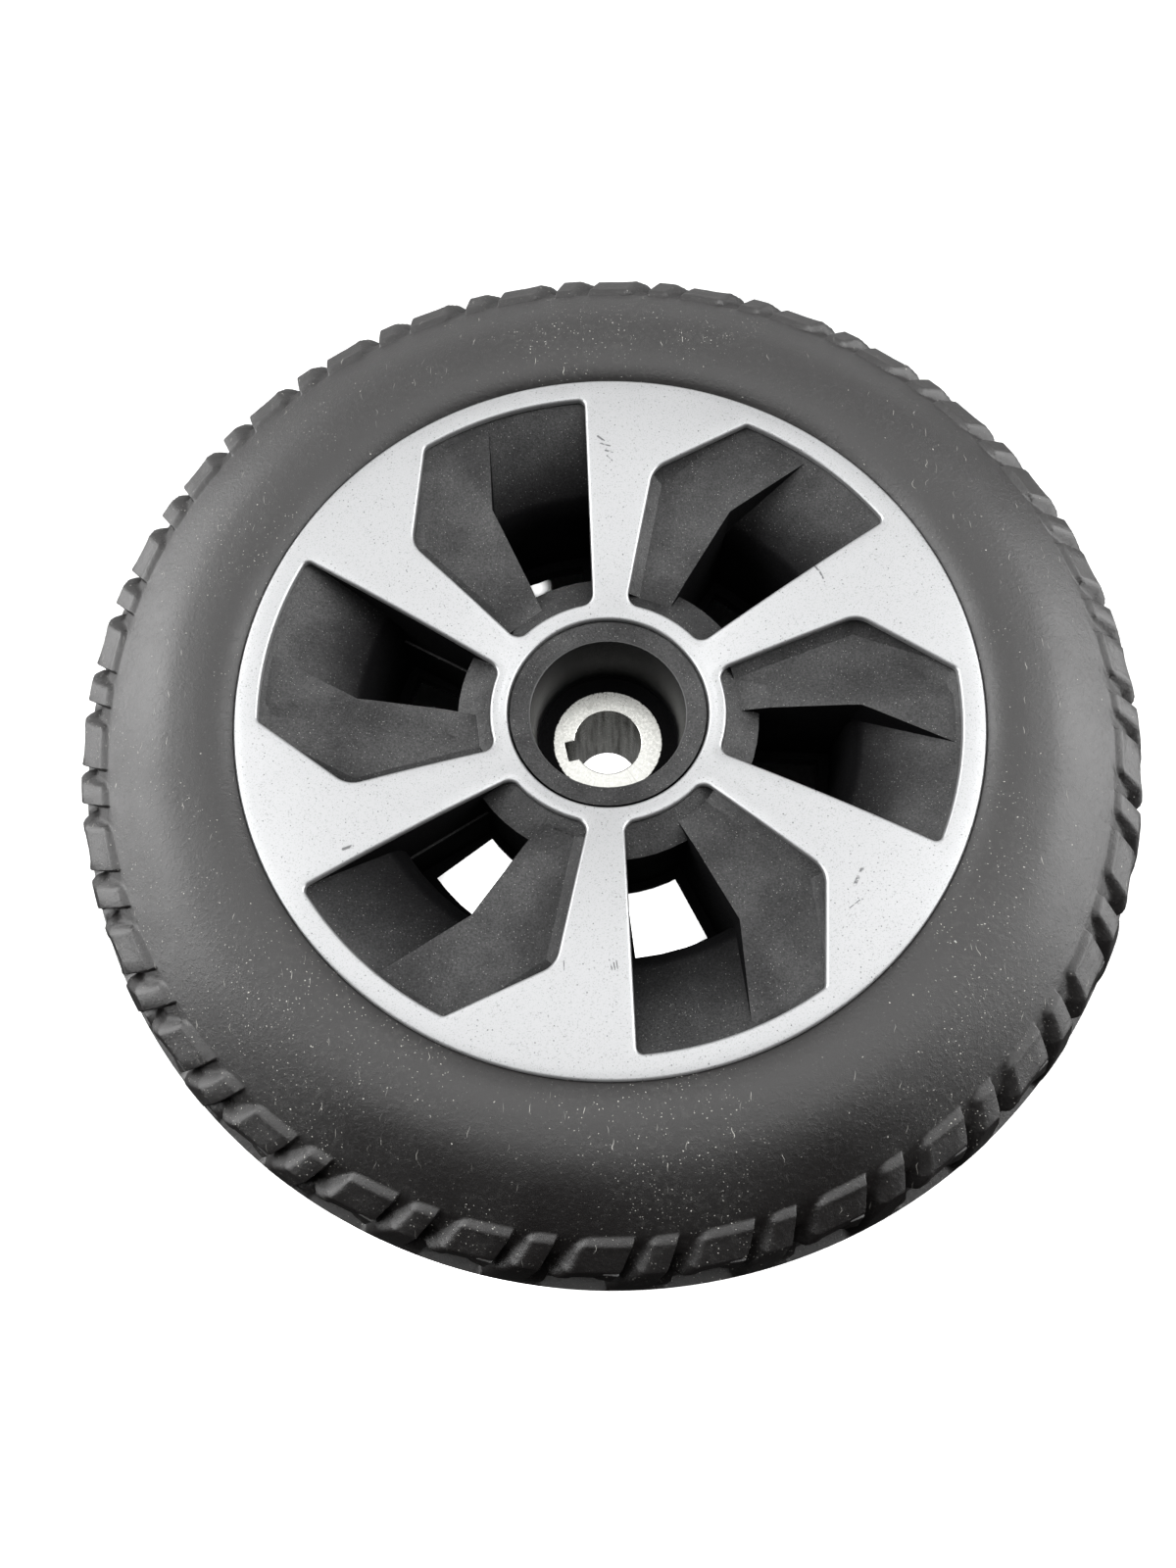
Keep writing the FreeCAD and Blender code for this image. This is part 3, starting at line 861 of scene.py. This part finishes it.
def circlePlan(radius, count):
    turns = np.arange(count) * math.tau / count
    return np.stack([radius * np.cos(turns), radius * np.sin(turns)], axis=1)


def inside(outline, point):
    x, y = outline[:, 0], outline[:, 1]
    x2, y2 = np.roll(x, -1), np.roll(y, -1)
    crosses = (y > point[1]) != (y2 > point[1])
    with np.errstate(divide="ignore", invalid="ignore"):
        meet = x + (point[1] - y) * (x2 - x) / (y2 - y)
    return bool(np.sum(crosses & (point[0] < meet)) % 2)


def trimLoops(margin):
    # every edge of the plate in plan, drawn back into the plate by a margin
    outer = circlePlan(wheel["trimRadius"] - margin, trim["rimPoints"])
    hole = circlePlan(wheel["holeRadius"] + margin, trim["holePoints"])
    outline = windowOutline(margin)
    return [outer, hole] + [turnedPlan(outline, sector * k) for k in range(wheel["spokes"])]


def plateMesh(loops, spacing):
    # triangles that fill the plate between its edges
    plan = [point for loop in loops for point in loop]
    edges = []
    start = 0
    for loop in loops:
        edges += [(start + k, start + (k + 1) % len(loop)) for k in range(len(loop))]
        start += len(loop)
    outer, inner = (np.linalg.norm(loop[0]) for loop in loops[:2])
    edgePoints = np.array(plan)
    for ring in range(int((outer - inner) / spacing)):
        radius = inner + spacing * (ring + 0.5)
        for point in circlePlan(radius, int(math.tau * radius / spacing)):
            gap = np.min(np.hypot(*(edgePoints - point).T))
            if gap > spacing * trim["clearance"]:
                plan.append(point)
    corners = [Vector(point) for point in plan]
    found = delaunay_2d_cdt(corners, edges, [], 0, trim["planGap"])
    places = np.array([list(point) for point in found[0]])
    faces = []
    for face in found[2]:
        middle = places[list(face)].mean(axis=0)
        between = inner < np.linalg.norm(middle) < outer
        if between and not any(inside(window, middle) for window in loops[2:]):
            faces.append(tuple(face))
    order = {source: index for index, sources in enumerate(found[3]) for source in sources}
    return places, faces, order


def stripFaces(first, second, flip):
    faces = []
    for k in range(len(first)):
        after = (k + 1) % len(first)
        face = (first[k], first[after], second[after], second[k])
        faces.append(face[::-1] if flip else face)
    return faces


def makeTrim():
    edge, thickness, steps = trim["edge"], trim["thickness"], trim["edgeSteps"]
    loops = trimLoops(edge)
    places, faces, order = plateMesh(loops, trim["spacing"])
    radii = np.hypot(places[:, 0], places[:, 1])
    count = len(places)
    top = np.column_stack([places, dishAt(radii)])
    low = np.column_stack([places, dishAt(radii, thickness)])
    points = [*top, *low]
    allFaces = list(faces) + [tuple(count + index for index in reversed(face)) for face in faces]
    # rounded edge from the top face to the wall, then the wall down to the underside
    profile = []
    for step in range(1, steps + 1):
        turn = math.radians(90 * step / steps)
        profile.append((edge * (1 - math.sin(turn)), edge * (1 - math.cos(turn))))
    profile.append((0.0, thickness - trim["wallFoot"]))
    rings = [trimLoops(margin) for margin, drop in profile]
    start = 0
    for index, loop in enumerate(loops):
        size = len(loop)
        previous = [order[start + k] for k in range(size)]
        bottom = [count + corner for corner in previous]
        flip = index == 0
        for ring, (margin, drop) in zip(rings, profile):
            base = len(points)
            for point, home in zip(ring[index], loop):
                points.append(np.array([*point, dishAt(np.linalg.norm(home), drop)]))
            current = [base + k for k in range(size)]
            allFaces += stripFaces(previous, current, flip)
            previous = current
        allFaces += stripFaces(previous, bottom, flip)
        start += size
    piece = makePiece("trimShape", points, allFaces, silver, trim["smoothAngle"])
    standFor(piece, "face_trim")
    print("trim made", len(points), "points")


makeTrim()

# rim halves, sleeve and screws, the CAD shapes with softened edges: width, material, slot
soft = {
    "rim_front": (0.35, plastic, "rim_black"),
    "rim_rear": (0.35, plastic, "rim_black"),
    "hub_insert": (0.25, zinc, "plated_steel"),
    "rim_screws": (0.25, zinc, "plated_steel"),
}

# how edges are found and rounded; gaps in metres, angles in degrees
softening = {
    "mergeGap": 2e-6,
    "flatAngle": 0.6,
    "crispAngle": 20,
    "segments": 2,
    "profile": 0.5,
    "smoothAngle": 15,
}

# the blades' ends, in radius and height, bend down on to the hub ring from a cut across the blade
bladeEnd = {
    "radius": (31.2, 31.7),
    "height": (52.4, 53.55),
    "ring": 52.2,
    "cut": 38.0,
    "mergeGap": 3e-5,
}

# the bowl behind the windows rolls over softly: how far its normals lean at each radius
bowl = {
    "radius": (57.6, 58.45, 61.05, 70.0, 80.8),
    "lean": (86.0, 68.0, 48.0, 34.0, 27.0),
    "foot": 41.0,
    "margin": 0.4,
    "leastInward": 0.3,
    "mostSideways": 0.2,
}


def turnOf(corner):
    return math.degrees(math.atan2(corner.co.y, corner.co.x))


def isBladeEnd(corner):
    radius, height = math.hypot(corner.co.x, corner.co.y) / mm, corner.co.z / mm
    nearest, farthest = bladeEnd["radius"]
    lowest, highest = bladeEnd["height"]
    return nearest < radius < farthest and lowest < height < highest


def runOut(build):
    found = [corner for corner in build.verts if isBladeEnd(corner)]
    first = turnOf(found[0])
    blades = {}
    for corner in found:
        blade = round((turnOf(corner) - first) / sector) % wheel["spokes"]
        blades.setdefault(blade, []).append(corner)
    for ends in blades.values():
        middle = sum((corner.co for corner in ends), Vector())
        out = Vector((middle.x, middle.y, 0)).normalized()
        faces = {face for corner in ends for face in corner.link_faces}
        edges = {edge for face in faces for edge in face.edges}
        corners = {corner for face in faces for corner in face.verts}
        bmesh.ops.bisect_plane(build, geom=[*faces, *edges, *corners], dist=mergeGap,
                               plane_co=out * bladeEnd["cut"] * mm, plane_no=out)
        for corner in ends:
            corner.co.z = bladeEnd["ring"] * mm
    bmesh.ops.remove_doubles(build, verts=build.verts, dist=bladeEnd["mergeGap"])


def rollBowl(mesh):
    normals = np.zeros((len(mesh.loops), 3))
    mesh.corner_normals.foreach_get("vector", normals.ravel())
    places = np.zeros((len(mesh.vertices), 3))
    mesh.vertices.foreach_get("co", places.ravel())
    places /= mm
    low, high = bowl["radius"][0] - bowl["margin"], bowl["radius"][-1] + bowl["margin"]
    for face in mesh.polygons:
        ring = places[list(face.vertices)]
        radii = np.hypot(ring[:, 0], ring[:, 1])
        outward = ring[:, :2].mean(axis=0)
        outward /= np.linalg.norm(outward)
        inward = -outward @ face.normal[:2]
        sideways = abs(outward[0] * face.normal[1] - outward[1] * face.normal[0])
        turned = inward < bowl["leastInward"] or sideways > bowl["mostSideways"]
        elsewhere = radii.min() < low or radii.max() > high or ring[:, 2].min() < bowl["foot"]
        if turned or elsewhere:
            continue
        for loop, point, radius in zip(face.loop_indices, ring, radii):
            lean = math.radians(np.interp(radius, bowl["radius"], bowl["lean"]))
            normals[loop] = *(-point[:2] / radius * math.sin(lean)), math.cos(lean)
    mesh.normals_split_custom_set(normals.tolist())


def softened(name, width, material):
    mesh = nodes[name].data.copy()
    mesh.materials.clear()
    build = bmesh.new()
    build.from_mesh(mesh)
    bmesh.ops.remove_doubles(build, verts=build.verts, dist=softening["mergeGap"])
    bmesh.ops.dissolve_limit(build, angle_limit=math.radians(softening["flatAngle"]),
                             verts=build.verts, edges=build.edges)
    if name == "rim_front":
        runOut(build)
    sharpest = math.radians(softening["crispAngle"])
    crisp = [edge for edge in build.edges
             if len(edge.link_faces) == 2 and edge.calc_face_angle(0) > sharpest]
    bmesh.ops.bevel(build, geom=crisp, offset=width * mm, segments=softening["segments"],
                    profile=softening["profile"], affect="EDGES", clamp_overlap=True, miter_outer="ARC")
    bmesh.ops.triangulate(build, faces=[face for face in build.faces if len(face.verts) > 4])
    build.to_mesh(mesh)
    build.free()
    mesh.materials.append(material)
    shadeByAngle(mesh, softening["smoothAngle"])
    if name == "rim_front":
        rollBowl(mesh)
    piece = bpy.data.objects.new(name + "Shape", mesh)
    bpy.context.scene.collection.objects.link(piece)
    standFor(piece, name)
    print(name, "softened")


for name, (width, material, slotName) in soft.items():
    softened(name, width, material)

# pale floor, and soft lights that leave the side towards the viewer dark, in metres
stageLook = {
    "floor": (0.9, 0.9, 0.9, 1),
    "floorReach": 1.3,
    "floorHeight": -0.0002,
    "floorRoughness": 0.9,
    # what the floor throws back on to the wheel, from the near side to the far side
    "bounce": (0.008, 0.008, 0.008, 1),
    "farBounce": (0.40, 0.40, 0.40, 1),
    "bounceRange": (-0.12, 0.25),
    "ambient": 0.02,
    # panels: place, size, level
    "panels": {
        "left": ((-0.75, 0.15, 0.36), (1.02, 0.8), 7.2),
        "right": ((0.75, 0.08, 0.36), (0.88, 0.8), 6.2),
        "upperLeft": ((-0.42, 0.16, 0.56), (0.34, 0.44), 4.3),
        "upperRight": ((0.42, 0.16, 0.56), (0.34, 0.44), 4.7),
        "top": ((0.0, 0.09, 0.54), (0.48, 0.46), 2.9),
        "front": ((0.0, -0.27, 0.54), (0.5, 0.22), 1.3),
        "back": ((0.0, 0.60, 0.50), (0.9, 0.35), 2.0),
        "backLow": ((0.0, 0.90, 0.16), (1.6, 0.40), 1.8),
    },
    "panelAim": (0, 0, 0.05),
    "floorLamp": (0.0, -0.05, 1.6),
    "floorLampAim": (0, 0, 0),
    "floorLampSize": 0.1,
    "floorLight": 5.0,
    # narrow lamps, for the floor that shows through the windows: place, aim, power, spread
    "spots": {
        "lowLamp": ((-0.19, -0.53, 0.082), (-0.009, -0.034, 0.0), 90.0, 9.0),
        "farLamp": ((-0.00687, -0.04893, 0.20519), (-0.02119, 0.06123, 0.0), 3.2, 1.5),
    },
    "spotBlend": 0.3,
    "spotSize": 0.002,
}


def addLamp(name, kind, place, aim, power, receivers):
    light = bpy.data.lights.new(name, kind)
    light.energy = power
    lamp = bpy.data.objects.new(name, light)
    lamp.location = place
    lamp.rotation_euler = (Vector(aim) - Vector(place)).to_track_quat("-Z", "Y").to_euler()
    bpy.context.scene.collection.objects.link(lamp)
    lamp.light_linking.receiver_collection = receivers
    return light


def addPanel(name, place, size, power, aim, receivers):
    light = addLamp(name, "AREA", place, aim, power, receivers)
    light.shape = "RECTANGLE"
    light.size, light.size_y = size


def makeFloor():
    look = stageLook
    mesh = bpy.data.meshes.new("floor")
    reach = look["floorReach"]
    corners = [(-reach, -reach, 0), (reach, -reach, 0), (reach, reach, 0), (-reach, reach, 0)]
    mesh.from_pydata(corners, [], [(0, 1, 2, 3)])
    floor = bpy.data.objects.new("floor", mesh)
    floor.location.z = look["floorHeight"]
    bpy.context.scene.collection.objects.link(floor)
    material, tree, shader = newMaterial("paleFloor")
    seen = put(tree, "LightPath").outputs["Is Camera Ray"]
    depth = put(tree, "SeparateXYZ", {0: objectPlace(tree)}).outputs[1]
    far = remap(tree, depth, *look["bounceRange"])
    bounce = mixColour(tree, far, look["bounce"], look["farBounce"])
    tree.links.new(mixColour(tree, seen, bounce, look["floor"]), shader.inputs["Base Color"])
    shader.inputs["Roughness"].default_value = look["floorRoughness"]
    shader.inputs["Specular IOR Level"].default_value = 0.0
    mesh.materials.append(material)
    return floor


def makeWorld():
    world = bpy.data.worlds.new("tent")
    world.use_nodes = True
    bpy.context.scene.world = world
    tree = world.node_tree
    seen = put(tree, "LightPath").outputs["Is Camera Ray"]
    level = fade(tree, seen, stageLook["ambient"], 1.0)
    background = tree.nodes["Background"]
    tree.links.new(level, background.inputs["Strength"])
    background.inputs["Color"].default_value = (1, 1, 1, 1)


def makeStage():
    look = stageLook
    floor = makeFloor()
    makeWorld()
    # the panels light all but the floor, which has lamps of its own
    onFloor, offFloor = (bpy.data.collections.new(name) for name in ("onFloor", "offFloor"))
    onFloor.objects.link(floor)
    offFloor.objects.link(floor)
    offFloor.collection_objects[0].light_linking.link_state = "EXCLUDE"
    for name, (place, size, level) in look["panels"].items():
        power = level * math.pi * size[0] * size[1]
        addPanel(name, place, size, power, look["panelAim"], offFloor)
    place, width = look["floorLamp"], look["floorLampSize"]
    power = look["floorLight"] * math.pi * Vector(place).length ** 2
    addPanel("floorLamp", place, (width, width), power, look["floorLampAim"], onFloor)
    for name, (place, aim, power, spread) in look["spots"].items():
        light = addLamp(name, "SPOT", place, aim, power, onFloor)
        light.spot_size = math.radians(spread)
        light.spot_blend = look["spotBlend"]
        light.shadow_soft_size = look["spotSize"]
    print("stage made")


makeStage()

# camera, as the photo was taken: place in millimetres, angles in degrees
view = {
    "place": (-0.735, -96.14, 293.13),
    "tilt": 18.0,
    "roll": 0.89,
    "lens": 24.95,
    "sensor": 36.0,
    "nearest": 0.01,
}


def makeCamera():
    lens = bpy.data.cameras.new("camera")
    lens.lens = view["lens"]
    lens.sensor_width = view["sensor"]
    lens.clip_start = view["nearest"]
    camera = bpy.data.objects.new("camera", lens)
    tilt = Matrix.Rotation(math.radians(view["tilt"]), 4, "X")
    roll = Matrix.Rotation(math.radians(view["roll"]), 4, "Y")
    camera.matrix_world = Matrix.Translation(Vector(view["place"]) * mm) @ tilt @ roll
    bpy.context.scene.collection.objects.link(camera)
    bpy.context.scene.camera = camera
    bpy.context.scene.view_settings.view_transform = "Standard"
    print("camera made")


makeCamera()
